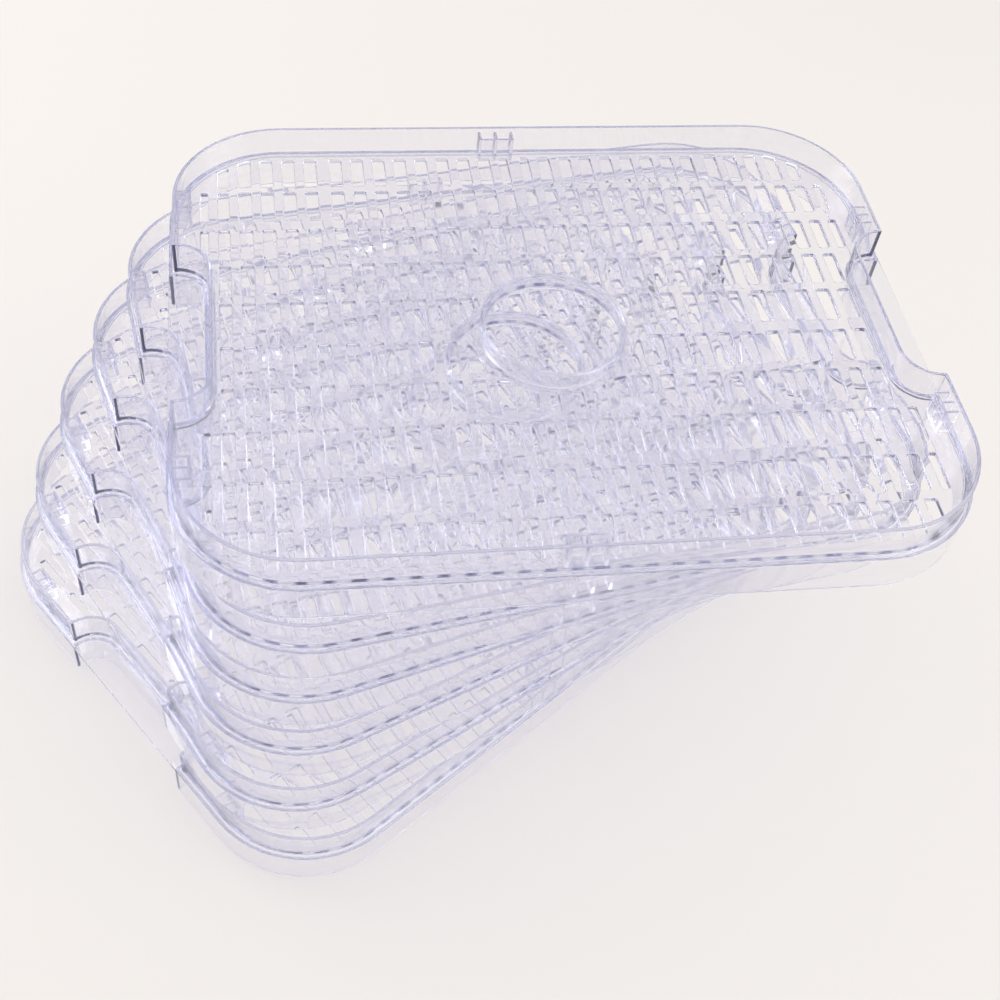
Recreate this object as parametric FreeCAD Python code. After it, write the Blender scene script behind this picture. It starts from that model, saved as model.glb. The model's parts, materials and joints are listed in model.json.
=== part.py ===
import FreeCAD, Part
import os

# A fanned stack of six clear plastic food dehydrator trays, in millimetres, +Z up.
# Every tray is one moulding, kept here as pieces that meet face to face: the rim frame (wall,
# ledge, grips and skirt) as its sides, ends and corners, the slotted floor, the air collar
# and the posts.
# The origin is the middle of the stack's box, on the surface that the lowest tray stands on.

Vector = FreeCAD.Vector
UP = Vector(0, 0, 1)

# One tray, seen from above
tray_length = 330.0
tray_width = 258.0
corner_radius = 50.0
notch_width = 92.0
notch_depth = 15.8
notch_radius = 15.0
wall = 1.6
nest_clearance = 0.8

# One tray, from the bottom edge up
skirt_depth = 17.4
ledge_thickness = 1.6
floor_rise = 0.9
floor_thickness = 1.7
food_depth = 14.4
stack_gap = 0.3

# Air collar in the middle of the floor
collar_radius = 32.5
collar_wall = 2.0
collar_above_floor = 5.4
collar_land = 4.6

# Slots in the floor: columns run along the tray's length, rows across its width
column_pitch = 10.5
slot_width = 5.8
middle_bar = 6.5
middle_slot_width = 4.2
end_bar = 6.6
end_slot_width = 5.0
last_slot_width = 3.4
full_columns = 8
end_columns = 4
slot_length = 19.3
row_bar = 5.0
wide_row_bar = 7.3
rows_to_wide_bar = (2, 3, 3, 2)
slot_margin = 2.5
smallest_slot = 4.0

# Two-cell posts on the inside of the wall
side_post_width = 17.0
end_post_width = 12.5
post_depth = 6.6
post_wall = 1.3
post_below_rim = 2.0
front_post_shift = -7.5
back_post_shift = -9.5
left_post_spread = 79.8
right_post_spread = 61.0

# How the trays are fanned, from the top one down: turn, shift along X, shift along Y
fan = (
    (0.0, 0.0, 0.0),
    (9.5, -11.5, 12.0),
    (16.0, -25.5, 21.0),
    (23.0, -40.5, 26.0),
    (28.5, -54.5, 24.0),
    (35.0, -65.5, 23.0),
)

# Worked out from the sizes above
skirt_offset = wall + nest_clearance
ledge_bottom = skirt_depth
floor_bottom = ledge_bottom + floor_rise
floor_top = floor_bottom + floor_thickness
rim = floor_top + food_depth
stack_pitch = rim + stack_gap


def rounded_wire(middle, length, width, radius):
    """Closed outline of a rectangle with round corners."""
    arcs = []
    for quarter, (along, across) in enumerate(((1, 1), (-1, 1), (-1, -1), (1, -1))):
        corner = Vector(along * (length / 2 - radius), across * (width / 2 - radius), 0)
        arcs.append(Part.makeCircle(radius, middle + corner, UP, 90 * quarter, 90 * quarter + 90))
    edges = []
    for arc, following in zip(arcs, arcs[1:] + arcs[:1]):
        edges.append(arc)
        edges.append(Part.makeLine(arc.Vertexes[-1].Point, following.Vertexes[0].Point))
    return Part.Wire(edges)


def rectangle(left, right, front, back):
    """Flat rectangle between two X and two Y values."""
    return Part.makePlane(right - left, back - front, Vector(left, front, 0))


def disc(radius):
    """Flat round face about the tray's middle."""
    return Part.Face(Part.Wire(Part.makeCircle(radius)))


def plain_outline(offset):
    """The tray's area without its notches, grown outward by offset."""
    length = tray_length + 2 * offset
    width = tray_width + 2 * offset
    return Part.Face(rounded_wire(Vector(), length, width, corner_radius + offset))


def notch_area(offset):
    """The two finger notches, as the free areas left when the tray grows by offset."""
    inner_edge = tray_length / 2 - notch_depth + offset
    across = notch_width - 2 * offset
    areas = []
    for side in (-1, 1):
        middle = Vector(side * (inner_edge + tray_length / 2), 0, 0)
        areas.append(Part.Face(rounded_wire(middle, tray_length, across, notch_radius - offset)))
    return Part.makeCompound(areas)


def outline(offset):
    """The tray's area with a notch in each short side, grown outward by offset."""
    return plain_outline(offset).cut(notch_area(offset))


def raised(area, bottom, top):
    """Solid over a flat area, between two heights."""
    area = area.translated(Vector(0, 0, bottom))
    return area.extrude(Vector(0, 0, top - bottom))


def frame():
    """Wall above, ledge with its two grips, and the skirt that stands on the tray below."""
    upper_wall = raised(outline(0).cut(outline(-wall)), ledge_bottom, rim)
    ledge = raised(plain_outline(skirt_offset).cut(outline(-wall)), ledge_bottom,
                   ledge_bottom + ledge_thickness)
    skirt = raised(outline(skirt_offset).cut(outline(skirt_offset - wall)), 0, ledge_bottom)
    return upper_wall.fuse([ledge, skirt]).removeSplitter()


def frame_pieces():
    """The frame cut where its straight walls meet its round corners."""
    whole = frame()
    far = tray_length
    side_end = tray_length / 2 - corner_radius
    end_side = tray_width / 2 - corner_radius
    lengths = {-1: (-far, -side_end), 0: (-side_end, side_end), 1: (side_end, far)}
    widths = {-1: (-far, -end_side), 0: (-end_side, end_side), 1: (end_side, far)}
    places = {
        "sides": ((0, -1), (0, 1)),
        "ends": ((-1, 0), (1, 0)),
        "corners": ((-1, -1), (1, -1), (1, 1), (-1, 1)),
    }
    pieces = {}
    for name, cells in places.items():
        solids = []
        for along, across in cells:
            zone = raised(rectangle(*lengths[along], *widths[across]), 0, rim)
            solids += whole.common(zone).Solids
        pieces[name] = Part.makeCompound(solids)
    return pieces


def column_edges():
    """Left and right edges of the slots in the right half of the floor."""
    edges = [(middle_bar / 2, middle_bar / 2 + middle_slot_width)]
    bar = column_pitch - slot_width
    left = edges[-1][1] + bar
    for column in range(full_columns):
        edges.append((left, left + slot_width))
        left += column_pitch
    left += end_bar - bar
    for column in range(end_columns):
        edges.append((left, left + slot_width))
        left += column_pitch
    for width in (end_slot_width, last_slot_width):
        edges.append((left, left + width))
        left += width + bar
    return edges


def row_edges():
    """Front and back edges of the rows of slots, from the back row to the front one."""
    bars = []
    for rows in rows_to_wide_bar:
        bars += [row_bar] * (rows - 1) + [wide_row_bar]
    bars = bars[:-1]
    back = (slot_length * (len(bars) + 1) + sum(bars)) / 2
    edges = []
    for bar in bars + [0.0]:
        edges.append((back - slot_length, back))
        back -= slot_length + bar
    return edges


def slot_areas():
    """Every slot, trimmed to the corners, the notches and the land round the collar."""
    slots = []
    for front, back in row_edges():
        for left, right in column_edges():
            slots.append(rectangle(left, right, front, back))
            slots.append(rectangle(-right, -left, front, back))
    free = outline(-wall - slot_margin).cut(disc(collar_radius + collar_land))
    trimmed = Part.makeCompound(slots).common(free)
    return [slot for slot in trimmed.Faces if slot.Area > smallest_slot * slot_width]


def slotted_floor():
    """Flat floor between the wall and the collar, pierced by the slots."""
    plate = outline(-wall).cut(disc(collar_radius)).Faces[0]
    holes = [slot.OuterWire for slot in slot_areas()]
    pierced = Part.Face([plate.OuterWire] + plate.Wires[1:] + holes)
    pierced.validate()
    return raised(pierced, floor_bottom, floor_top)


def collar():
    """Round collar about the air hole, standing above and below the floor."""
    ring = disc(collar_radius).cut(disc(collar_radius - collar_wall))
    return raised(ring, ledge_bottom, floor_top + collar_above_floor)


def post(place, turn, width):
    """One post: an inner plate and three ribs that run out to the wall, open at the top."""
    half = width / 2
    parts = [rectangle(-half, half, -post_depth, post_wall - post_depth)]
    for left in (-half, -post_wall / 2, half - post_wall):
        parts.append(rectangle(left, left + post_wall, post_wall - post_depth, wall))
    area = parts[0].fuse(parts[1:]).removeSplitter()
    area.rotate(Vector(), UP, turn)
    area.translate(place)
    return area.common(outline(-wall))


def posts():
    """Six posts that carry a tray put on the other way round."""
    side = tray_width / 2 - wall
    end = tray_length / 2 - wall
    areas = [
        post(Vector(back_post_shift, side, 0), 0, side_post_width),
        post(Vector(front_post_shift, -side, 0), 180, side_post_width),
        post(Vector(-end, left_post_spread, 0), 90, end_post_width),
        post(Vector(-end, -left_post_spread, 0), 90, end_post_width),
        post(Vector(end, right_post_spread, 0), 270, end_post_width),
        post(Vector(end, -right_post_spread, 0), 270, end_post_width),
    ]
    solids = []
    for area in areas:
        for face in area.Faces:
            solids.append(raised(face, floor_top, rim - post_below_rim))
    return Part.makeCompound(solids)


def in_stack(shape, level):
    """A copy of a tray's piece at its level of the fanned stack, the top tray being level 0."""
    turn, shift_x, shift_y = fan[level]
    lift = stack_pitch * (len(fan) - 1 - level)
    placed = shape.copy()
    placed.rotate(Vector(), UP, turn)
    placed.translate(Vector(shift_x, shift_y, lift))
    return placed


def export(shape, node):
    """Write one node, once its solids are sound."""
    for solid in shape.Solids:
        if not solid.isValid() or not solid.isClosed():
            raise ValueError(node + " has a faulty solid")
    shape.exportStep("parts/" + node + ".step")


def main():
    """Build one tray and write its pieces at all six levels."""
    os.makedirs("parts", exist_ok=True)
    pieces = frame_pieces()
    pieces["floor"] = slotted_floor()
    pieces["collar"] = collar()
    pieces["posts"] = posts()
    corners = [in_stack(pieces["corners"], level) for level in range(len(fan))]
    box = Part.makeCompound(corners).optimalBoundingBox(False, False)
    to_middle = Vector(-(box.XMin + box.XMax) / 2, -(box.YMin + box.YMax) / 2, 0)
    for level in range(len(fan)):
        for name, shape in pieces.items():
            placed = in_stack(shape, level)
            placed.translate(to_middle)
            export(placed, "tray_" + str(level + 1) + "_" + name)
    print("stack", round(box.XLength, 2), round(box.YLength, 2), round(box.ZLength, 2))
    print("top tray's middle", round(to_middle.x, 3), round(to_middle.y, 3))
    for name, shape in pieces.items():
        print(name, len(shape.Solids), "solids", len(shape.Faces), "faces",
              round(shape.Volume / 1000, 2), "cm3")


main()
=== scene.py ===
import json
import math
import bmesh
import bpy
from mathutils import Euler, Matrix, Vector
from mathutils.geometry import delaunay_2d_cdt


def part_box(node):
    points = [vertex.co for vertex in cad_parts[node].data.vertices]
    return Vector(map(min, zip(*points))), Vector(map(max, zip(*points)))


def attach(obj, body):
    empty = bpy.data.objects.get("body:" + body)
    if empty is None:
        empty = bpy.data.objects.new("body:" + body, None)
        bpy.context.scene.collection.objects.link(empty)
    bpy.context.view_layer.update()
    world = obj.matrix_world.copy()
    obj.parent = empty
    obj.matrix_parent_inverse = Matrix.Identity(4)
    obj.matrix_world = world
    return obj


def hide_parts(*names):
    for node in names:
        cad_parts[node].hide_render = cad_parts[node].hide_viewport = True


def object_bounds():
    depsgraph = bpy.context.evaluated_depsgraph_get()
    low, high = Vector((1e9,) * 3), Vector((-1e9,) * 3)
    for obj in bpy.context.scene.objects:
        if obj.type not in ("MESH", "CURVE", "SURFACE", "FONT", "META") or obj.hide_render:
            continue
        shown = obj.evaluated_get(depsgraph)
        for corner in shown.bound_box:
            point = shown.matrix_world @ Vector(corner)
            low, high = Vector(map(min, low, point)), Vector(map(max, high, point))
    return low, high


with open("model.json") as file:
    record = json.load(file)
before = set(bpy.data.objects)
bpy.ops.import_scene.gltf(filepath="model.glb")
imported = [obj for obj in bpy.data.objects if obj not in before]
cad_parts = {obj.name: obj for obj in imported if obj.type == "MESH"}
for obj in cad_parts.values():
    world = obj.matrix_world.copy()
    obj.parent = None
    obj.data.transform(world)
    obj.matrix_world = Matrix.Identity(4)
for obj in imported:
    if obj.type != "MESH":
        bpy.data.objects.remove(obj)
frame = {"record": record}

cadBounds = [list(corner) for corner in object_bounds()]
bodies = frame["record"]["behaviour"]["bodies"]
mm = 0.001
traysInStack = len(bodies)
print("frame loaded,", traysInStack, "trays")

# how far each tray is turned from the top one, in degrees, top tray first
fanTurns = (0.0, 9.5, 16.0, 23.0, 28.5, 35.0)

# every size is in millimetres, in the tray's own frame: X along its length, Z up from its
# standing edge
shell = dict(
    cornerRadius=50.0,
    cornerSteps=16,
    notchWidth=92.0,
    notchDepth=15.8,
    notchRadius=15.0,
    notchSteps=8,
    notchEdge=0.7,
    notchEdgeSteps=3,
    notchEdgeRoom=1.05,
    wall=1.6,
    skirtGap=0.8,
    ledge=1.6,
    edgeRound=0.4,
    fillet=0.4,
)
slots = dict(
    columnPitch=10.5,
    width=5.8,
    middleBar=6.5,
    middleWidth=4.2,
    endBar=6.6,
    endWidths=(5.0, 3.4),
    fullColumns=8,
    endColumns=4,
    length=19.3,
    barsFromMiddle=(5.0, 5.0, 7.3, 5.0, 0.0),
    middleBarAcross=7.3,
    margin=2.5,
    shortest=3.5,
    cornerRadius=0.8,
    cornerSteps=3,
    topRound=0.8,
    topSteps=4,
    bottomRound=0.2,
)
ring = dict(wall=2.0, land=4.6, steps=72, edgeRound=0.5)
post = dict(
    sideWidth=17.0,
    endWidth=12.5,
    depth=6.6,
    wall=1.3,
    frontShift=-7.5,
    backShift=-9.5,
    leftSpread=79.8,
    rightSpread=61.0,
    gap=0.05,
    edgeRound=0.25,
)


def measureTray():
    # the heights and the overall size come from the top tray's own nodes
    low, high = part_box("tray_1_corners")
    floorLow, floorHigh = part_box("tray_1_floor")
    ringLow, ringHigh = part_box("tray_1_collar")
    grow = 2 * (shell["wall"] + shell["skirtGap"])
    return dict(
        halfLength=((high.x - low.x) / mm - grow) / 2,
        halfWidth=((high.y - low.y) / mm - grow) / 2,
        rim=(high.z - low.z) / mm,
        floorBottom=(floorLow.z - low.z) / mm,
        floorTop=(floorHigh.z - low.z) / mm,
        ringBottom=(ringLow.z - low.z) / mm,
        ringTop=(ringHigh.z - low.z) / mm,
        ringRadius=(ringHigh.x - ringLow.x) / mm / 2,
        postTop=(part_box("tray_1_posts")[1].z - low.z) / mm,
    )


size = measureTray()
size["ledgeBottom"] = size["ringBottom"]
size["ledgeTop"] = size["ledgeBottom"] + shell["ledge"]
size["skirtOut"] = shell["wall"] + shell["skirtGap"]


def arc(middle, radius, start, end, steps):
    points = []
    for step in range(steps + 1):
        angle = math.radians(start + (end - start) * step / steps)
        points.append((middle[0] + radius * math.cos(angle), middle[1] + radius * math.sin(angle)))
    return points


def mirrored(quarter):
    # the whole outline, counter-clockwise, from its right upper quarter
    back = quarter[::-1]
    return (
        quarter
        + [(-x, y) for x, y in back]
        + [(-x, -y) for x, y in quarter]
        + [(x, -y) for x, y in back]
    )


def notchedOutline(offset):
    end = size["halfLength"] + offset
    side = size["halfWidth"] + offset
    corner = shell["cornerRadius"] + offset
    across = shell["notchWidth"] / 2 - offset
    inner = size["halfLength"] - shell["notchDepth"] + offset
    hollow = shell["notchRadius"] - offset
    edge = shell["notchEdge"]
    # the hollow arc stops where the notch's sharp corner starts
    reach = min(hollow, end - shell["notchEdgeRoom"] - inner)
    turn = math.degrees(math.acos((hollow - reach) / hollow))
    quarter = arc((inner + hollow, across - hollow), hollow, 180, 180 - turn, shell["notchSteps"])
    quarter += arc((end - edge, across + edge), edge, 270, 360, shell["notchEdgeSteps"])
    quarter += arc((end - corner, side - corner), corner, 0, 90, shell["cornerSteps"])
    return mirrored(quarter)


def plainOutline(offset, across):
    # the points of the notched outline that is grown by across, with the notch's own ones put
    # on the straight end
    end = size["halfLength"] + offset
    notchPoints = shell["notchSteps"] + shell["notchEdgeSteps"] + 2
    cornerPoints = shell["cornerSteps"] + 1
    quarter = notchedOutline(across)[:notchPoints]
    quarter = [(end, y) for x, y in quarter]
    quarter += notchedOutline(offset)[notchPoints:notchPoints + cornerPoints]
    return mirrored(quarter)


def circle(radius):
    return arc((0, 0), radius, 0, 360 - 360 / ring["steps"], ring["steps"] - 1)


making = dict(
    mergeWithin=0.002 * mm,
    fillTolerance=1e-6,
    sharpDegrees=50,
)


class Solid:
    # collects loops of points in millimetres and turns them into one closed mesh

    def __init__(self):
        self.mesh = bmesh.new()

    def loop(self, points, height):
        return [self.mesh.verts.new((x * mm, y * mm, height * mm)) for x, y in points]

    def skin(self, loops):
        # walls between loops that follow each other, each given as (points, height)
        rings = [self.loop(points, height) for points, height in loops]
        for lower, upper in zip(rings, rings[1:]):
            count = len(lower)
            for here in range(count):
                following = (here + 1) % count
                corners = (lower[here], lower[following], upper[following], upper[here])
                self.mesh.faces.new(corners)

    def fill(self, border, holes, height):
        # a flat face inside border, pierced by the holes
        loops = [border] + holes
        points = []
        faces = []
        for points2d in loops:
            faces.append(list(range(len(points), len(points) + len(points2d))))
            points += [Vector(point) for point in points2d]
        filled = delaunay_2d_cdt(points, [], faces, 1, making["fillTolerance"])
        spots, triangles, owners = filled[0], filled[2], filled[5]
        verts = self.loop(spots, height)
        for triangle, inside in zip(triangles, owners):
            if inside == [0]:
                self.mesh.faces.new([verts[index] for index in triangle])

    def finish(self, name):
        merge = making["mergeWithin"]
        bmesh.ops.remove_doubles(self.mesh, verts=self.mesh.verts, dist=merge)
        bmesh.ops.dissolve_degenerate(self.mesh, edges=self.mesh.edges, dist=merge)
        bmesh.ops.recalc_face_normals(self.mesh, faces=self.mesh.faces)
        gaps = [edge for edge in self.mesh.edges if not edge.is_manifold]
        print(name, len(self.mesh.faces), "faces,", len(gaps), "open edges")
        for face in self.mesh.faces:
            face.smooth = True
        sharp = math.radians(making["sharpDegrees"])
        for edge in self.mesh.edges:
            if edge.is_manifold and edge.calc_face_angle() > sharp:
                edge.smooth = False
        result = bpy.data.meshes.new(name)
        self.mesh.to_mesh(result)
        self.mesh.free()
        return result


def rounded(start, out, end, radius, steps=2):
    # (offset, height) steps of an edge that turns round the corner out, from start's side to
    # end's side
    edge = []
    for step in range(steps + 1):
        bend = math.radians(90 * step / steps)
        toStart = 1 - math.sin(bend)
        toEnd = 1 - math.cos(bend)
        edge.append((
            out[0] + radius * (start[0] * toStart + end[0] * toEnd),
            out[1] + radius * (start[1] * toStart + end[1] * toEnd),
        ))
    return edge


def buildFrame(solid):
    # the rim frame is one profile of (offset, height) steps carried round the outline
    out = size["skirtOut"]
    wall = shell["wall"]
    edge = shell["edgeRound"]
    fillet = shell["fillet"]
    innerSkirt = out - wall
    rim = size["rim"]
    ledge = size["ledgeBottom"]
    below = [(-wall, size["floorBottom"]), (-wall, ledge), (innerSkirt, ledge)]
    below += rounded((0, 1), (innerSkirt, 0), (1, 0), edge)
    below += rounded((-1, 0), (out, 0), (0, 1), edge)
    below.append((out, ledge))
    grip = [(out, ledge)] + rounded((0, -1), (out, size["ledgeTop"]), (-1, 0), edge)
    above = [(fillet, size["ledgeTop"]), (0, size["ledgeTop"] + fillet)]
    above += rounded((0, -1), (0, rim), (-1, 0), edge)
    above += rounded((1, 0), (-wall, rim), (0, -1), edge)
    above += [(-wall, size["floorTop"] + fillet), (-wall - fillet, size["floorTop"])]
    loops = [(notchedOutline(offset), height) for offset, height in below]
    loops += [(plainOutline(offset, out), height) for offset, height in grip]
    loops += [(notchedOutline(offset), height) for offset, height in above]
    solid.skin(loops)


def buildCollar(solid):
    outer = size["ringRadius"]
    inner = outer - ring["wall"]
    edge = ring["edgeRound"]
    fillet = shell["fillet"]
    top = size["ringTop"]
    bottom = size["ringBottom"]
    steps = [(outer + fillet, size["floorTop"]), (outer, size["floorTop"] + fillet)]
    steps += rounded((0, -1), (outer, top), (-1, 0), edge)
    steps += rounded((1, 0), (inner, top), (0, -1), edge)
    steps += rounded((0, 1), (inner, bottom), (1, 0), edge)
    steps += rounded((-1, 0), (outer, bottom), (0, 1), edge)
    steps.append((outer, size["floorBottom"]))
    solid.skin([(circle(radius), height) for radius, height in steps])


def columnEdges():
    # left and right edges of the slots in the right half of the floor
    edges = [(slots["middleBar"] / 2, slots["middleBar"] / 2 + slots["middleWidth"])]
    bar = slots["columnPitch"] - slots["width"]
    left = edges[0][1] + bar
    groups = ((slots["fullColumns"], slots["endBar"] - bar), (slots["endColumns"], 0))
    for columns, wider in groups:
        for column in range(columns):
            edges.append((left, left + slots["width"]))
            left += slots["columnPitch"]
        left += wider
    for width in slots["endWidths"]:
        edges.append((left, left + width))
        left += width + bar
    return edges


def rowEdges():
    # near and far edges of the rows of slots in the back half, from the middle out
    near = slots["middleBarAcross"] / 2
    edges = []
    for bar in slots["barsFromMiddle"]:
        edges.append((near, near + slots["length"]))
        near += slots["length"] + bar
    return edges


def cornerLimit(x):
    # how far across the floor is free for slots at x, from the middle
    inset = shell["wall"] + slots["margin"]
    radius = shell["cornerRadius"] - inset
    past = x - (size["halfLength"] - shell["cornerRadius"])
    limit = size["halfWidth"] - inset
    if past > 0:
        limit -= radius - math.sqrt(max(0, radius ** 2 - past ** 2))
    return limit


def middleLimit(x):
    # where the slots may start at x: outside the collar's land, and beside the notch
    limit = 0
    land = size["ringRadius"] + ring["land"]
    if x < land:
        limit = math.sqrt(land ** 2 - x ** 2)
    inset = shell["wall"] + slots["margin"]
    wallX = size["halfLength"] - shell["notchDepth"] - inset
    hollow = shell["notchRadius"] + inset
    past = x - wallX
    if past > 0:
        turn = math.sqrt(max(0, hollow ** 2 - (hollow - min(past, hollow)) ** 2))
        limit = shell["notchWidth"] / 2 + inset - hollow + turn
    return limit


def roundedPolygon(corners, grow, radius, steps):
    # counter-clockwise polygon moved outward by grow, its corners turned to arcs
    count = len(corners)
    lines = []
    for index in range(count):
        start = Vector(corners[index])
        along = (Vector(corners[(index + 1) % count]) - start).normalized()
        outward = Vector((along.y, -along.x))
        lines.append((start + outward * grow, along, outward))
    points = []
    turnRadius = radius + grow
    for index in range(count):
        before, after = lines[index - 1], lines[index]
        # the arc's middle lies at its radius inside both lines
        startA = before[0] - before[2] * turnRadius
        startB = after[0] - after[2] * turnRadius
        cross = before[1].x * after[1].y - before[1].y * after[1].x
        gap = startB - startA
        along = (gap.x * after[1].y - gap.y * after[1].x) / cross
        middle = startA + before[1] * along
        first = math.atan2(before[2].y, before[2].x)
        last = math.atan2(after[2].y, after[2].x)
        if last < first:
            last += 2 * math.pi
        for step in range(steps + 1):
            angle = first + (last - first) * step / steps
            across = turnRadius * math.cos(angle)
            points.append((middle.x + across, middle.y + turnRadius * math.sin(angle)))
    return points


def slotCorners():
    # four corners of each slot, counter-clockwise, its ends trimmed to the free part of the floor
    found = []
    for left, right in columnEdges():
        for near, far in rowEdges():
            nearLeft = max(near, middleLimit(left))
            nearRight = max(near, middleLimit(right))
            farLeft = min(far, cornerLimit(left))
            farRight = min(far, cornerLimit(right))
            shortest = min(farLeft - nearLeft, farRight - nearRight)
            if shortest < slots["shortest"]:
                continue
            slot = [(left, nearLeft), (right, nearRight), (right, farRight), (left, farLeft)]
            flipX = [(-x, y) for x, y in slot[::-1]]
            found += [slot, flipX]
            found += [[(x, -y) for x, y in shape[::-1]] for shape in (slot, flipX)]
    return found


def buildFloor(solid):
    # the bars between the slots are rounded over on top
    top = size["floorTop"]
    bottom = size["floorBottom"]
    profile = rounded((1, 0), (0, top), (0, -1), slots["topRound"], slots["topSteps"])
    profile += rounded((0, 1), (0, bottom), (1, 0), slots["bottomRound"])
    topHoles = []
    bottomHoles = []
    for corners in slotCorners():
        loops = []
        for grow, height in profile:
            turned = roundedPolygon(corners, grow, slots["cornerRadius"], slots["cornerSteps"])
            loops.append((turned, height))
        solid.skin(loops)
        topHoles.append(loops[0][0])
        bottomHoles.append(loops[-1][0])
    fillet = shell["fillet"]
    border = notchedOutline(-shell["wall"] - fillet)
    solid.fill(border, topHoles + [circle(size["ringRadius"] + fillet)], top)
    solid.fill(notchedOutline(-shell["wall"]), bottomHoles + [circle(size["ringRadius"])], bottom)
    print("floor has", len(topHoles), "slots")


def wallAcross(y):
    # inner face of the end wall at y, past the notch
    radius = shell["cornerRadius"] - shell["wall"]
    past = abs(y) - (size["halfWidth"] - shell["cornerRadius"])
    reach = size["halfLength"] - shell["wall"]
    if past > 0:
        reach -= radius - math.sqrt(radius ** 2 - past ** 2)
    return reach


def postOutline(along, width, reachAt):
    # one post as an E of (place along the wall, distance out), its plate inside and its ribs
    # ending at the wall
    half = width / 2
    wall = post["wall"]
    ribs = (-half, -wall / 2, half - wall)
    plate = reachAt(along) - post["depth"]
    points = [(along - half, plate), (along + half, plate)]
    for left in reversed(ribs):
        right = left + wall
        end = min(reachAt(along + left), reachAt(along + right)) - post["gap"]
        if left != ribs[-1]:
            points.append((along + right, plate + wall))
        points += [(along + right, end), (along + left, end)]
        if left != ribs[0]:
            points.append((along + left, plate + wall))
    return points


def inward(points, distance):
    # a counter-clockwise outline moved inward, its corners being right angles or close to them
    moved = []
    for index, point in enumerate(points):
        here = Vector(point)
        before = (here - Vector(points[index - 1])).normalized()
        after = (Vector(points[(index + 1) % len(points)]) - here).normalized()
        shift = Vector((-before.y - after.y, before.x + after.x)) / (1 + before.dot(after))
        moved.append(tuple(here + shift * distance))
    return moved


def buildPosts():
    solid = Solid()
    bottom = size["floorTop"] + post["gap"]
    top = size["postTop"]
    edge = post["edgeRound"]
    side = size["halfWidth"] - shell["wall"]
    outlines = []
    for spread, mirror in ((post["leftSpread"], -1), (post["rightSpread"], 1)):
        for place in (-spread, spread):
            shape = postOutline(place, post["endWidth"], wallAcross)
            outlines.append([(mirror * out, along) for along, out in shape])
    for shift, mirror in ((post["frontShift"], -1), (post["backShift"], 1)):
        shape = postOutline(shift, post["sideWidth"], lambda x: side)
        outlines.append([(along, mirror * out) for along, out in shape])
    for outline in outlines:
        following = outline[1:] + outline[:1]
        area = sum(a[0] * b[1] - b[0] * a[1] for a, b in zip(outline, following))
        if area < 0:
            outline = outline[::-1]
        small = inward(outline, edge)
        solid.skin([(outline, bottom), (outline, top - edge), (small, top)])
        solid.fill(outline, [], bottom)
        solid.fill(small, [], top)
    return solid.finish("trayPosts")


class Value:
    # one output socket of a tree's nodes, ready for sums

    def __init__(self, finish, socket):
        self.finish = finish
        self.socket = socket

    def sum(self, operation, first, second):
        return self.finish.node("ShaderNodeMath", dict(operation=operation), {0: first, 1: second})

    def __add__(self, other):
        return self.sum("ADD", self, other)

    def __mul__(self, other):
        return self.sum("MULTIPLY", self, other)

    __radd__ = __add__
    __rmul__ = __mul__


class Finish:
    # the nodes of a material, or of the sky

    def __init__(self, owner):
        owner.use_nodes = True
        self.owner = owner
        self.tree = owner.node_tree
        self.tree.nodes.clear()

    def node(self, kind, settings={}, inputs={}, output=0):
        made = self.tree.nodes.new(kind)
        for name, value in settings.items():
            if name == "stops":
                ramp = made.color_ramp.elements
                for index, (place, colour) in enumerate(value):
                    element = ramp[index] if index < len(ramp) else ramp.new(place)
                    element.position = place
                    element.color = colour
            else:
                setattr(made, name, value)
        for name, value in inputs.items():
            if isinstance(value, Value):
                self.tree.links.new(value.socket, made.inputs[name])
            else:
                made.inputs[name].default_value = value
        return Value(self, made.outputs[output]) if made.outputs else None


plastic = dict(
    colour=(0.99, 0.985, 1.0, 1.0),
    ior=1.57,
    polish=0.015,
    smudge=0.03,
    smudgeScale=28.0,
    smudgeDetail=4.0,
    wave=0.03,
    waveScale=60.0,
    waveDetail=1.0,
    waveHeight=0.0004,
    haze=0.006,
    hazeSmudge=0.014,
    hazeColour=(0.7, 0.67, 0.66, 1.0),
    hazeRoughness=0.5,
    tint=(0.15, 0.215, 0.64, 1.0),
    tintDepth=19.5,
    shadow=(0.994, 0.994, 0.995, 1.0),
)


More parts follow.
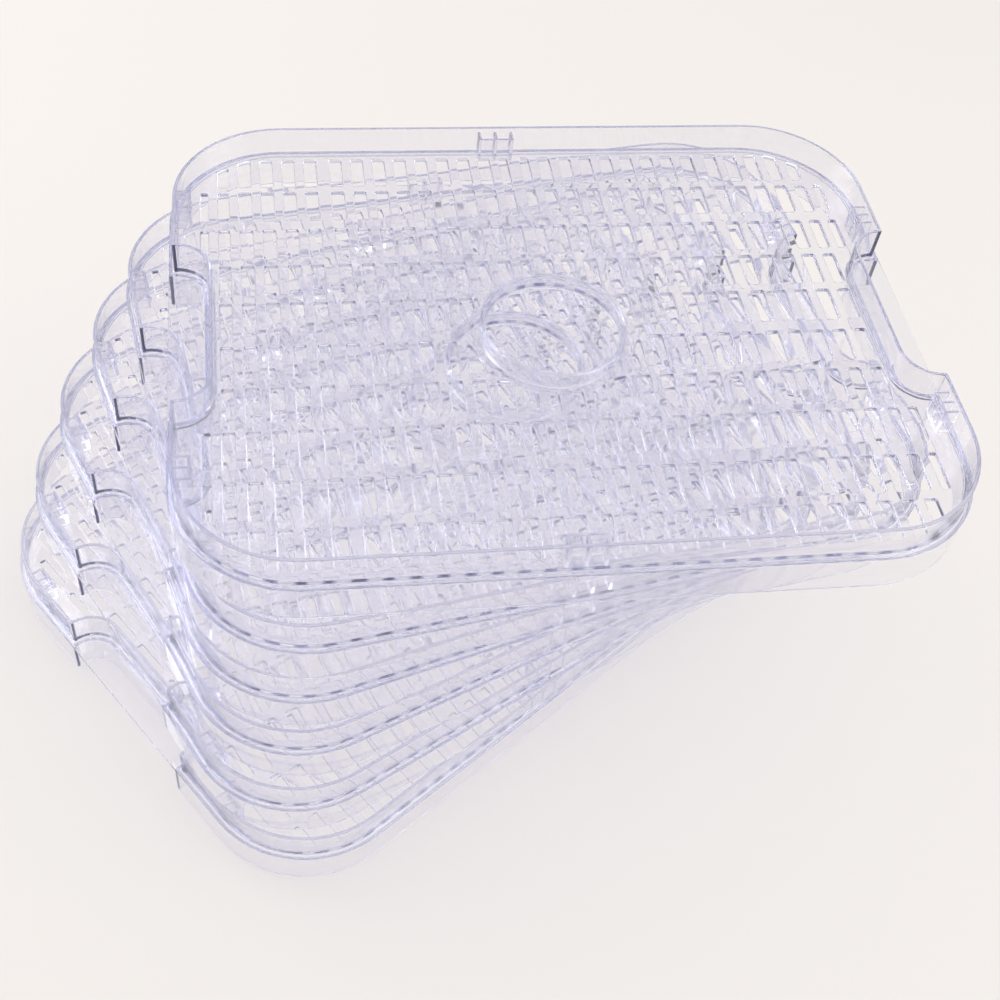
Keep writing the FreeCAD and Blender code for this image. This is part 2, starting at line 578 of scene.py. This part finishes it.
def clearPlastic():
    finish = Finish(bpy.data.materials.new("clearPlastic"))
    place = finish.node("ShaderNodeTexCoord", output="Object")
    smudges = finish.node("ShaderNodeTexNoise", {}, {
        "Vector": place,
        "Scale": plastic["smudgeScale"],
        "Detail": plastic["smudgeDetail"],
    })
    waves = finish.node("ShaderNodeTexNoise", {}, {
        "Vector": place,
        "Scale": plastic["waveScale"],
        "Detail": plastic["waveDetail"],
    })
    bump = finish.node("ShaderNodeBump", {}, {
        "Height": waves,
        "Strength": plastic["wave"],
        "Distance": plastic["waveHeight"],
    })
    surface = finish.node("ShaderNodeBsdfPrincipled", {}, {
        "Base Color": plastic["colour"],
        "Roughness": plastic["polish"] + plastic["smudge"] * smudges,
        "IOR": plastic["ior"],
        "Transmission Weight": 1.0,
        "Normal": bump,
    })
    # handling leaves a faint milky haze on every face
    milky = finish.node("ShaderNodeBsdfPrincipled", {}, {
        "Base Color": plastic["hazeColour"],
        "Roughness": plastic["hazeRoughness"],
        "Normal": bump,
    })
    haze = plastic["haze"] + plastic["hazeSmudge"] * smudges
    surface = finish.node("ShaderNodeMixShader", {}, {0: haze, 1: surface, 2: milky})
    # light on its way to the table falls straight through the thin walls, so the shadows
    # stay pale
    through = finish.node("ShaderNodeBsdfTransparent", {}, {"Color": plastic["shadow"]})
    lampLight = finish.node("ShaderNodeLightPath", output="Is Shadow Ray")
    skyLight = finish.node("ShaderNodeLightPath", output="Is Diffuse Ray")
    straight = lampLight + skyLight
    mixed = finish.node("ShaderNodeMixShader", {}, {0: straight, 1: surface, 2: through})
    # long stretches seen along the plastic turn blue
    depth = finish.node("ShaderNodeVolumeAbsorption", {}, {
        "Color": plastic["tint"],
        "Density": plastic["tintDepth"],
    })
    finish.node("ShaderNodeOutputMaterial", {}, {"Surface": mixed, "Volume": depth})
    return finish.owner


def placeTray(number, mesh, kind, nodes):
    body = "tray_" + str(number)
    low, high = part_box(body + "_collar")
    middle = (low + high) / 2
    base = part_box(body + "_corners")[0].z
    turn = Matrix.Rotation(math.radians(fanTurns[number - 1]), 4, "Z")
    placed = mesh.copy()
    placed.transform(Matrix.Translation((middle.x, middle.y, base)) @ turn)
    piece = bpy.data.objects.new(body + "_" + kind, placed)
    bpy.context.scene.collection.objects.link(piece)
    weighted = piece.modifiers.new("evenShading", "WEIGHTED_NORMAL")
    weighted.keep_sharp = True
    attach(piece, body)
    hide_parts(*[body + "_" + node for node in nodes])


def buildTrays():
    solid = Solid()
    buildFrame(solid)
    buildCollar(solid)
    buildFloor(solid)
    shellMesh = solid.finish("trayShell")
    postMesh = buildPosts()
    material = clearPlastic()
    for mesh in (shellMesh, postMesh):
        mesh.materials.append(material)
    for number in range(1, traysInStack + 1):
        placeTray(number, shellMesh, "shell", ("sides", "ends", "corners", "floor", "collar"))
        placeTray(number, postMesh, "post_set", ("posts",))
    print("trays placed")


# lengths in metres, power in watts
studio = dict(
    tableSize=6.0,
    tableDrop=0.0004,
    tableColour=(0.76, 0.73, 0.685, 1.0),
    tableRoughness=0.6,
    tableGrain=0.1,
    grainScale=3.0,
    grainDetail=2.0,
    tableShine=0.2,
    skyStops=(
        (0.0, (0.34, 0.34, 0.38, 1.0)),
        (0.75, (0.52, 0.51, 0.53, 1.0)),
        (1.0, (1.0, 1.0, 1.0, 1.0)),
    ),
    skyStrength=1.5,
    bounces=32,
    straightThrough=128,
    lamps=(
        dict(name="leftLamp", place=(-1.2, 0.9, 1.6), size=1.2, power=14.0),
        dict(name="rightLamp", place=(1.5, -0.6, 1.3), size=1.4, power=10.0),
    ),
)


def buildStudio():
    scene = bpy.context.scene
    half = studio["tableSize"] / 2
    mesh = bpy.data.meshes.new("tableTop")
    corners = [(-half, -half), (half, -half), (half, half), (-half, half)]
    mesh.from_pydata([(x, y, -studio["tableDrop"]) for x, y in corners], [], [(0, 1, 2, 3)])
    table = bpy.data.objects.new("tableTop", mesh)
    scene.collection.objects.link(table)
    finish = Finish(bpy.data.materials.new("paleTable"))
    grain = finish.node("ShaderNodeTexNoise", {}, {
        "Scale": studio["grainScale"],
        "Detail": studio["grainDetail"],
    })
    surface = finish.node("ShaderNodeBsdfPrincipled", {}, {
        "Base Color": studio["tableColour"],
        "Roughness": studio["tableRoughness"] + studio["tableGrain"] * grain,
        "Specular IOR Level": studio["tableShine"],
    })
    finish.node("ShaderNodeOutputMaterial", {}, {"Surface": surface})
    mesh.materials.append(finish.owner)
    # the sky dims towards the horizon, which draws the plastic's edges
    sky = Finish(bpy.data.worlds.new("softSky"))
    heading = sky.node("ShaderNodeTexCoord", output="Generated")
    height = sky.node("ShaderNodeSeparateXYZ", {}, {"Vector": heading}, "Z")
    glow = sky.node("ShaderNodeValToRGB", {"stops": studio["skyStops"]}, {"Fac": height})
    shine = sky.node("ShaderNodeBackground", {}, {
        "Color": glow,
        "Strength": studio["skyStrength"],
    })
    sky.node("ShaderNodeOutputWorld", {}, {"Surface": shine})
    scene.world = sky.owner
    aim = (Vector(cadBounds[0]) + Vector(cadBounds[1])) / 2
    for lamp in studio["lamps"]:
        data = bpy.data.lights.new(lamp["name"], "AREA")
        data.size = lamp["size"]
        data.energy = lamp["power"]
        light = bpy.data.objects.new(lamp["name"], data)
        place = Vector(lamp["place"])
        light.location = place
        light.rotation_euler = (aim - place).to_track_quat("-Z", "Y").to_euler()
        scene.collection.objects.link(light)
    scene.view_settings.view_transform = "Standard"
    # light runs along inside the plastic, turned back by its faces many times
    scene.cycles.max_bounces = studio["bounces"]
    scene.cycles.glossy_bounces = studio["bounces"]
    scene.cycles.transmission_bounces = studio["bounces"]
    scene.cycles.transparent_max_bounces = studio["straightThrough"]
    print("studio ready")


# the camera stands in front of the stack, a little to its left, looking down on the top tray
view = dict(
    place=(-0.0821, -0.4557, 0.6260),
    turnDegrees=(39.24, -4.79, -7.17),
    lens=50.3,
    shift=(0.0284, -0.0140),
)


def buildCamera():
    data = bpy.data.cameras.new("frontCamera")
    data.lens = view["lens"]
    data.shift_x, data.shift_y = view["shift"]
    camera = bpy.data.objects.new("frontCamera", data)
    camera.location = view["place"]
    camera.rotation_euler = Euler([math.radians(angle) for angle in view["turnDegrees"]])
    bpy.context.scene.collection.objects.link(camera)
    bpy.context.scene.camera = camera


buildCamera()
buildStudio()
buildTrays()
